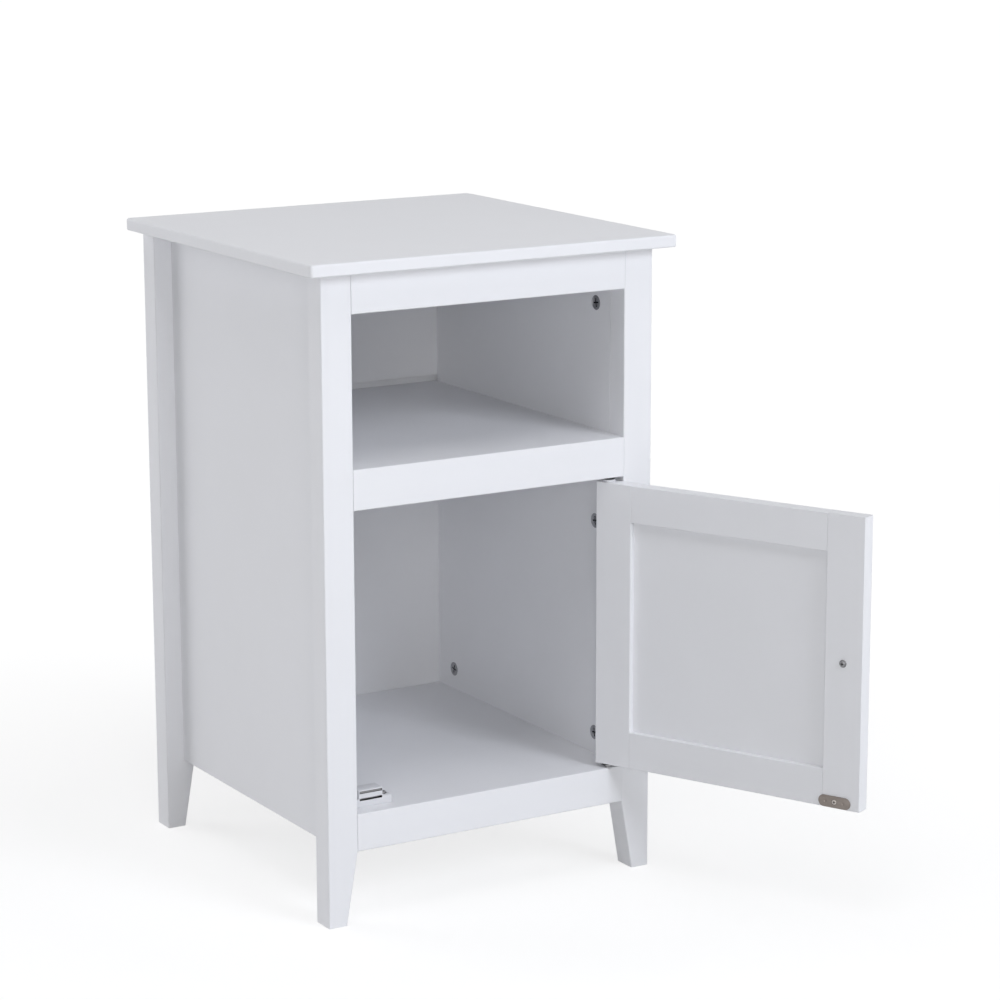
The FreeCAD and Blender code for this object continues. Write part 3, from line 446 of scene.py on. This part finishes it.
def paint_shade_on_faces(bm, test):
    """Paint shade: give the dark second finish to the faces that a test on their radius and height picks.
    """
    for face in bm.faces:
        place = face.calc_center_median()
        if test(math.hypot(place.x, place.y), place.z):
            face.material_index = 1
    return bm


def fitting(name, bm, material, body, replaced, recess=None):
    """Put a finished fitting into the frame, in place of a node. A recess finish, if given, is the painted
    shade on the faces picked for it.
    """
    moved(bm, Matrix.Scale(MM, 4))
    bmesh.ops.remove_doubles(bm, verts=bm.verts, dist=MERGE_DISTANCE)
    made = as_object(name, bm)
    for face in made.data.polygons:
        face.use_smooth = True
    made.data.set_sharp_from_angle(angle=SHARP_ANGLE)
    made.data.materials.append(material)
    if recess:
        made.data.materials.append(recess)
    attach(made, body)
    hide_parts(replaced)


def shift(x, y, z):
    """A move without a turn."""
    return Matrix.Translation((x, y, z))


def facing(normal, up=(0, 0, 1)):
    """The turn that takes Z to a normal, and Y near to up."""
    z = Vector(normal).normalized()
    x = Vector(up).cross(z).normalized()
    return Matrix((x, z.cross(x), z)).transposed().to_4x4()


# ------------------------------------------------------------------------------------ fittings
HINGE_X, HINGE_Y = (1000 * part for part in hinge["pos_m"][:2])
ON_DOOR = shift(HINGE_X, HINGE_Y, 0) @ Matrix.Rotation(OPEN_ANGLE, 4, "Z")
UPSIDE_DOWN = Matrix.Rotation(math.pi, 4, "X")
DOOR_INNER = 8.5
DOOR_OUTER = -7.0
KNOB_X = -264.9
KNOB_REACH = 20.0
STRIKE_X = -259.2
STRIKE_LENGTH = 34.0
STRIKE_THICKNESS = 1.2
SIDE_PANEL_FACE = 149.75
CAM_RADIUS = 7.0


def span(node):
    """The lowest and the highest corner of a node, in millimetres."""
    return [1000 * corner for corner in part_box(node)]


def on_inner_face(x, z):
    """A place on the door's inner face, with Z pointing out of it."""
    return ON_DOOR @ shift(x, DOOR_INNER, z) @ facing((0, 1, 0))


def pan_screw_head(width, height, recess):
    """A low round head with a thin flange and a cross recess, its underside at Z = 0."""
    radius = width / 2
    profile = [(0, 0), (radius, 0), (radius, height * 0.26), (radius * 0.86, height * 0.3),
               (radius * 0.8, height * 0.2), (radius * 0.76, height * 0.5), (radius * 0.6, height * 0.9),
               (radius * 0.3, height), (0, height)]
    head = lathe(rounded(profile, radius * 0.12, 4), 48)
    cut = carved(head, prism(cross(recess, recess * 0.56), height * 0.1, height + 1, 0.6))

    # Painted shade: the cross recess and the flange's side next to the surface below get the dark finish.
    def dark(far, level):
        in_recess = far < recess * 1.05 and 0.05 < level / height < 0.88
        on_flange_side = far > radius * 0.9 and 0.0 < level / height < 0.2
        return in_recess or on_flange_side

    return paint_shade_on_faces(cut, dark)


def make_knob():
    """A turned knob: a foot, a waisted neck and a crowned head."""
    low, high = span("knob")
    radius = (high.z - low.z) / 2
    foot = [(0, 0), (7.0, 0), (7.0, 1.6), (5.6, 2.7)]
    neck = [(4.6, 4.6), (4.7, KNOB_REACH - 11.0), (6.6, KNOB_REACH - 8.9)]
    head = [(radius - 0.6, KNOB_REACH - 7.4), (radius, KNOB_REACH - 5.6),
            (radius - 0.9, KNOB_REACH - 2.9), (radius * 0.62, KNOB_REACH - 0.7),
            (radius * 0.3, KNOB_REACH - 0.1), (0, KNOB_REACH)]
    knob = lathe(rounded(foot + neck + head, 1.3, 5), 96)
    place = ON_DOOR @ shift(KNOB_X, DOOR_OUTER, (high.z + low.z) / 2) @ facing((0, -1, 0))
    fitting("knob_turned", moved(knob, place), nickel, "door", "knob")


def make_knob_screw():
    """The screw of the knob: a pan head on a round shank through the door."""
    low, high = span("knob_screw")
    tip, shank_radius, under_head = -26.4, 2.0, 0.1
    profile = [(0, tip), (shank_radius - 0.6, tip), (shank_radius, tip + 0.8), (shank_radius, under_head),
               (0, under_head)]
    screw = joined(pan_screw_head(7.5, 2.2, 1.95), lathe(rounded(profile, 0.2, 2), 24))
    place = on_inner_face(KNOB_X, (high.z + low.z) / 2)
    fitting("knob_screw_pan_head", moved(screw, place), screw_steel_painted_dark, "door", "knob_screw",
            recess=painted_recess_shade)


def strike_plate():
    """A plate with round ends, two dimples and a countersunk hole. It lies on Z = 0, along X."""
    low, high = span("strike_plate")
    end_radius = (high.z - low.z) / 2
    end_x = STRIKE_LENGTH / 2 - end_radius
    turns = [math.pi * step / 16 - math.pi / 2 for step in range(17)]
    end = [Vector((end_x + end_radius * math.cos(a), end_radius * math.sin(a))) for a in turns]
    plate = softened(prism(end + [-point for point in end], 0, STRIKE_THICKNESS), 0.28, 3)
    dimple_profile = rounded([(0, 0), (0.9, 0.1), (1.7, 0.9), (1.7, 2), (0, 2)], 0.4, 4)
    dimples = [moved(lathe(dimple_profile, 32), shift(x, 0, 0.55)) for x in (-9.5, 9.5)]
    hole_radius, sink_radius = 1.6, 2.75
    sink = lathe([(0, -1), (hole_radius, -1), (hole_radius, 0.1), (sink_radius, STRIKE_THICKNESS + 0.05),
                  (sink_radius, 2), (0, 2)], 40)
    # Painted shade: the countersink's walls get the dark finish.
    return paint_shade_on_faces(carved(plate, sink, *dimples),
                     lambda far, level: far < sink_radius - 0.05 and 0.05 < level < STRIKE_THICKNESS - 0.01)


def strike_screw():
    """A countersunk screw with a raised head and a cross recess, its head near Z = 0 to 1.4."""
    recess, shank_radius = 1.8, 1.5
    profile = [(0, -9.8), (0.5, -9.4), (shank_radius, -8.0), (shank_radius, 0.05), (2.45, 1.0), (2.3, 1.2),
               (1.4, 1.38), (0, 1.42)]
    screw = lathe(rounded(profile, 0.15, 3), 40)
    # Painted shade: the cross recess gets the dark finish.
    return paint_shade_on_faces(carved(screw, prism(cross(recess, 0.95), 0.1, 2.5, 0.6)),
                     lambda far, level: far < recess and 0.07 < level < 1.3)


def make_strike():
    """The strike plate on the door's inner face, and its screw."""
    low, high = span("strike_plate")
    place = on_inner_face(STRIKE_X, (high.z + low.z) / 2)
    fitting("strike_plate_dimpled", moved(strike_plate(), place), strike_metal, "door",
            "strike_plate", recess=painted_recess_shade)
    fitting("strike_screw_cross_head", moved(strike_screw(), place), strike_screw_metal, "door",
            "strike_screw", recess=painted_recess_shade)


def cam_lock():
    """A cam lock: a disc with a thin flange, a raised rim, a cross slot and a small pointer.

    The panel's surface is at Z = 0 and the face looks along +Z. The mouth for the bolt is at +Y.
    """
    back, flange_radius, slot_length, slot_width, slot_depth = -9.5, 7.3, 9.0, 1.6, 2.2
    side = CAM_RADIUS - 0.05
    profile = [(0, back), (side - 0.35, back), (side, back + 0.4), (side, 0.02), (flange_radius, 0.02),
               (flange_radius, 0.2), (6.9, 0.3), (5.9, 0.3), (5.7, -0.15), (3.0, -0.15), (2.8, 0.05),
               (0, 0.05)]
    slots = [prism(rectangle(*size), -slot_depth, 1, 0.92)
             for size in ((slot_length, slot_width), (slot_width, slot_length))]
    mouth_radius, mouth_length = 2.9, 6
    mouth = moved(lathe([(0, 0), (mouth_radius, 0), (mouth_radius, mouth_length), (0, mouth_length)], 24),
                  shift(0, 3.0, -6.5) @ facing((0, 1, 0), (1, 0, 0)))
    pointer = prism([(-0.7, 6.0), (0.7, 6.0), (0, 6.9)], 0.0, 1)
    cam = carved(lathe(rounded(profile, 0.2, 2), 48), *slots, mouth, pointer)

    # Painted shade: the deep faces of the cross slot and the bolt mouth, and the flange's side, get the
    # dark finish.
    def dark(far, level):
        in_slot = far < 4.9 and level < -0.25
        on_flange_side = far > 7.2
        return in_slot or on_flange_side

    return paint_shade_on_faces(softened(cam, 0.08, 1, 60.0), dark)


def make_cams():
    """The cam locks of the side joints and of the top, each in its well, turned a little."""
    low, high = span("side_cam_locks")
    levels = (low.z + CAM_RADIUS, (low.z + high.z) / 2, high.z - CAM_RADIUS)
    rows = ((low.y + CAM_RADIUS, -1, 8), (high.y - CAM_RADIUS, 1, -11))
    places = [shift(side * SIDE_PANEL_FACE, y, z) @ facing((-side, 0, 0), (0, towards, 0))
              @ Matrix.Rotation(math.radians(turn), 4, "Z")
              for side in (-1, 1) for y, towards, turn in rows for z in levels]
    fitting("side_cam_locks_slotted", copies(cam_lock(), places), zinc, "cabinet",
            "side_cam_locks", recess=painted_recess_shade)
    low, high = span("top_cam_locks")
    places = [shift(side * SIDE_PANEL_FACE, y, (low.z + high.z) / 2) @ facing((-side, 0, 0))
              @ Matrix.Rotation(math.radians(6), 4, "Z")
              for side in (-1, 1) for y in (low.y + CAM_RADIUS, high.y - CAM_RADIUS)]
    fitting("top_cam_locks_slotted", copies(cam_lock(), places), zinc, "cabinet",
            "top_cam_locks", recess=painted_recess_shade)


def catch_housing(depth, height, ear_x, ear_level):
    """A moulded block with two screw ears. X runs along it, Y is up, and its front is at Z = 0."""
    half_length, half_block = 23, 13
    outline = [(-half_length, 0), (half_length, 0), (half_length, ear_level), (half_block, ear_level),
               (half_block, height), (-half_block, height), (-half_block, ear_level),
               (-half_length, ear_level)]
    block = softened(prism(outline, -depth, 0), 0.7, 3, 60.0)
    plate_slots = [prism(rectangle(24.4, 2.3, 0, level), -12, 1) for level in (7.65, 14.65)]
    hollow = prism(rectangle(23.6, 8.5, 0, 11.15), -depth - 1, -1.2)
    hole_radius, well_radius, well_depth = 1.7, 3.4, 0.9
    well = [(0, -20), (hole_radius, -20), (hole_radius, -well_depth), (well_radius, -well_depth),
            (well_radius, 2), (0, 2)]
    wells = [moved(lathe(well, 32), shift(x, ear_level, -depth / 2) @ facing((0, 1, 0), (0, 0, -1)))
             for x in (-ear_x, ear_x)]
    housing = carved(block, *plate_slots, hollow, *wells)
    # Painted shade: the faces inside the hollow and the pole-plate slots get the black second finish.
    for face in housing.faces:
        x, y, z = face.calc_center_median()
        if abs(x) < 12.3 and 6.4 < y < 15.9 and z < -0.3:
            face.material_index = 1
    return housing


def make_catch():
    """The magnetic catch with its pole plates and the screws in its ears."""
    low, high = span("catch_body")
    middle = (low.x + high.x) / 2
    depth = high.y - low.y
    ear_x, ear_level = 18, 8
    place = shift(middle, low.y, low.z) @ facing((0, -1, 0))
    housing = catch_housing(depth, high.z - low.z, ear_x, ear_level)
    # The black nylon second finish here is painted shade inside the housing.
    fitting("catch_housing", moved(housing, place), white_plastic, "cabinet",
            "catch_body", recess=nylon)
    plates = [softened(prism(rectangle(23.4, 1.4, 0, level), -10.5, front), 0.15, 2)
              for level, front in ((7.55, -2.4), (14.65, -0.2))]
    fitting("catch_pole_plates_polished", moved(joined(*plates), place), pole_steel, "cabinet",
            "catch_pole_plates")
    shank = lathe([(0, -16), (0.4, -15.2), (1.5, -12.5), (1.5, 0.1), (0, 0.1)], 24)
    ears = [shift(middle + x, low.y + depth / 2, low.z + ear_level) @ Matrix.Rotation(turn, 4, "Z")
            for x, turn in ((-ear_x, 0.4), (ear_x, 0.9))]
    screws = copies(joined(pan_screw_head(6.0, 2.0, 1.8), shank), ears)
    fitting("catch_screws_pan_head", screws, screw_steel_painted_dark, "cabinet", "catch_screws",
            recess=painted_recess_shade)


def turned(profile, radius, sides, place):
    """A lathe piece with rounded corners, at a place."""
    return moved(lathe(rounded(profile, radius, 3), sides), place)


def make_pivots():
    """The two pivots: turned pins in the rails, and flanged bushes in the door's ends."""
    thickness, pin_radius, pin_root, pin_end = 2.0, 2.5, -10, 15.5
    pin = [(0, pin_root), (pin_radius, pin_root), (pin_radius, 0), (4, 0), (4, thickness),
           (pin_radius, thickness), (pin_radius, pin_end - 0.5), (pin_radius - 0.5, pin_end), (0, pin_end)]
    collar = [(0, 0), (5.8, 0), (5.8, thickness), (0, thickness)]
    flange, bore, bore_end, bush_end = 2.2, 2.65, 11.3, 14.0
    bush = [(0, bore_end), (bore, bore_end), (bore, -flange), (6.25, -flange), (6.25, 0), (4.4, 0),
            (4.0, bush_end), (0, bush_end)]
    low, high = span("pivot_pins")
    on_bottom_rail = shift(HINGE_X, HINGE_Y, low.z - pin_root)
    under_shelf_rail = shift(HINGE_X, HINGE_Y, high.z + pin_root) @ UPSIDE_DOWN
    pins = joined(turned(pin, 0.3, 32, on_bottom_rail), turned(pin, 0.3, 32, under_shelf_rail))
    fitting("pivot_pins_turned", pins, steel, "cabinet", "pivot_pins")
    fitting("pivot_collar_moulded", turned(collar, 0.4, 48, under_shelf_rail), nylon,
            "cabinet", "pivot_pins")
    low, high = span("pivot_bushes")
    lower = ON_DOOR @ shift(0, 0, low.z + flange)
    upper = ON_DOOR @ shift(0, 0, high.z - flange) @ UPSIDE_DOWN
    fitting("pivot_bush_lower_flanged", turned(bush, 0.4, 48, lower), nylon, "door",
            "pivot_bushes")
    fitting("pivot_bush_upper_flanged", turned(bush, 0.4, 48, upper), white_plastic,
            "door", "pivot_bushes")


make_knob()
make_knob_screw()
make_strike()
make_cams()
make_catch()
make_pivots()

# ------------------------------------------------------------------------------ floor and light
WHITE = (1.0, 1.0, 1.0, 1.0)
FLOOR_COLOUR = (0.72, 0.72, 0.72, 1.0)
FLOOR_HALF_SIZE = 30.0
GLOW_NEAR, GLOW_FAR = 1.42, 1.02
WORLD_STRENGTH = 0.2
MIDDLE = Vector((0.0, 0.0, 0.35))
COOL = (0.98, 0.985, 1.03)
COOLER = (0.95, 0.985, 1.06)
# Name, place, size, power, tint, and whether it shows in mirror reflections. The strongest lamps
# don't, so that the top keeps its tone from every side.
LAMPS = (
    ("key from the front", (1.05, -3.3, 2.2), 1.4, 46.0, COOLER, False),
    ("front right", (1.6, -3.2, 2.4), 3.0, 20.0, COOLER, True),
    ("above on the left", (-0.8, -1.0, 3.0), 1.2, 13.0, (0.99, 0.99, 1.02), True),
    ("low in front", (-1.0, -1.9, 0.75), 0.8, 8.0, WHITE[:3], True),
    ("high behind", (-1.2, 3.0, 2.2), 2.4, 11.0, COOL, True),
    ("left behind", (-2.2, 2.6, 1.2), 2.2, 40.0, (0.98, 0.99, 1.03), False),
    ("right", (3.2, -0.6, 1.2), 2.0, 13.0, WHITE[:3], True),
)
CAMERA_PLACE = (-1.5068, -2.702, 1.0426)
CAMERA_YAW, CAMERA_PITCH, CAMERA_ROLL = (math.radians(angle) for angle in (31.039, -12.394, 0.139))
CAMERA_LENS = 113.4
SENSOR_WIDTH = 36.0


def seen_directly(tree):
    """1 for rays from the camera, from a mirror or through glass, and 0 for rays that gather light."""
    rays = add(tree, "ShaderNodeLightPath").outputs
    return maths(tree, "MAXIMUM", rays["Is Camera Ray"],
                 maths(tree, "MAXIMUM", rays["Is Glossy Ray"], rays["Is Transmission Ray"]))


def make_floor():
    """A pale floor that turns white away from the object and keeps its shadow."""
    bm = bmesh.new()
    bmesh.ops.create_grid(bm, x_segments=8, y_segments=8, size=FLOOR_HALF_SIZE)
    floor = as_object("floor", bm)
    material, tree, shader = new_finish("pale floor")
    shader.inputs["Base Color"].default_value = FLOOR_COLOUR
    shader.inputs["Roughness"].default_value = 0.9
    shader.inputs["Specular IOR Level"].default_value = 0.1
    place = add(tree, "ShaderNodeTexCoord").outputs["Object"]
    distance = add(tree, "ShaderNodeVectorMath", {0: place}, operation="LENGTH").outputs["Value"]
    far = add(tree, "ShaderNodeMapRange", {"Value": distance, "From Min": 0.4, "From Max": 2.0}).outputs[0]
    glow = add(tree, "ShaderNodeEmission", {
        "Color": WHITE, "Strength": spread(tree, far, GLOW_NEAR, GLOW_FAR)})
    share = maths(tree, "MULTIPLY", seen_directly(tree), spread(tree, far, 0.5, 1.0))
    mix = add(tree, "ShaderNodeMixShader", {0: share, 1: shader.outputs[0], 2: glow.outputs[0]})
    tree.links.new(mix.outputs[0], tree.nodes["Material Output"].inputs["Surface"])
    floor.data.materials.append(material)


def make_world():
    """An even studio that is white to look at and lights the object softly."""
    world = bpy.data.worlds.new("studio")
    bpy.context.scene.world = world
    world.use_nodes = True
    tree = world.node_tree
    tree.nodes.clear()
    level = spread(tree, seen_directly(tree), WORLD_STRENGTH, 1.0)
    backdrop = add(tree, "ShaderNodeBackground", {"Color": WHITE, "Strength": level})
    out = add(tree, "ShaderNodeOutputWorld")
    tree.links.new(backdrop.outputs[0], out.inputs["Surface"])


def make_lamp(name, place, size, power, tint, mirrored):
    """A round soft lamp that looks at the middle of the object."""
    lamp = bpy.data.lights.new(name, "AREA")
    lamp.color = tint
    lamp.shape = "DISK"
    lamp.size = size
    lamp.energy = power
    thing = bpy.data.objects.new(name, lamp)
    thing.location = place
    thing.rotation_mode = "QUATERNION"
    thing.rotation_quaternion = (MIDDLE - Vector(place)).to_track_quat("-Z", "Y")
    thing.visible_glossy = mirrored
    bpy.context.scene.collection.objects.link(thing)


def make_camera():
    """The camera, with no lens shift."""
    camera = bpy.data.cameras.new("camera")
    camera.sensor_width = SENSOR_WIDTH
    camera.lens = CAMERA_LENS
    camera.clip_start = 0.1
    camera.clip_end = 100.0
    thing = bpy.data.objects.new("camera", camera)
    turn = Matrix.Rotation(-CAMERA_YAW, 4, "Z") @ Matrix.Rotation(math.pi / 2 + CAMERA_PITCH, 4, "X")
    thing.matrix_world = shift(*CAMERA_PLACE) @ turn @ Matrix.Rotation(-CAMERA_ROLL, 4, "Z")
    bpy.context.scene.collection.objects.link(thing)
    bpy.context.scene.camera = thing


make_floor()
make_world()
for lamp_row in LAMPS:
    make_lamp(*lamp_row)
make_camera()
bpy.context.scene.view_settings.view_transform = "Standard"
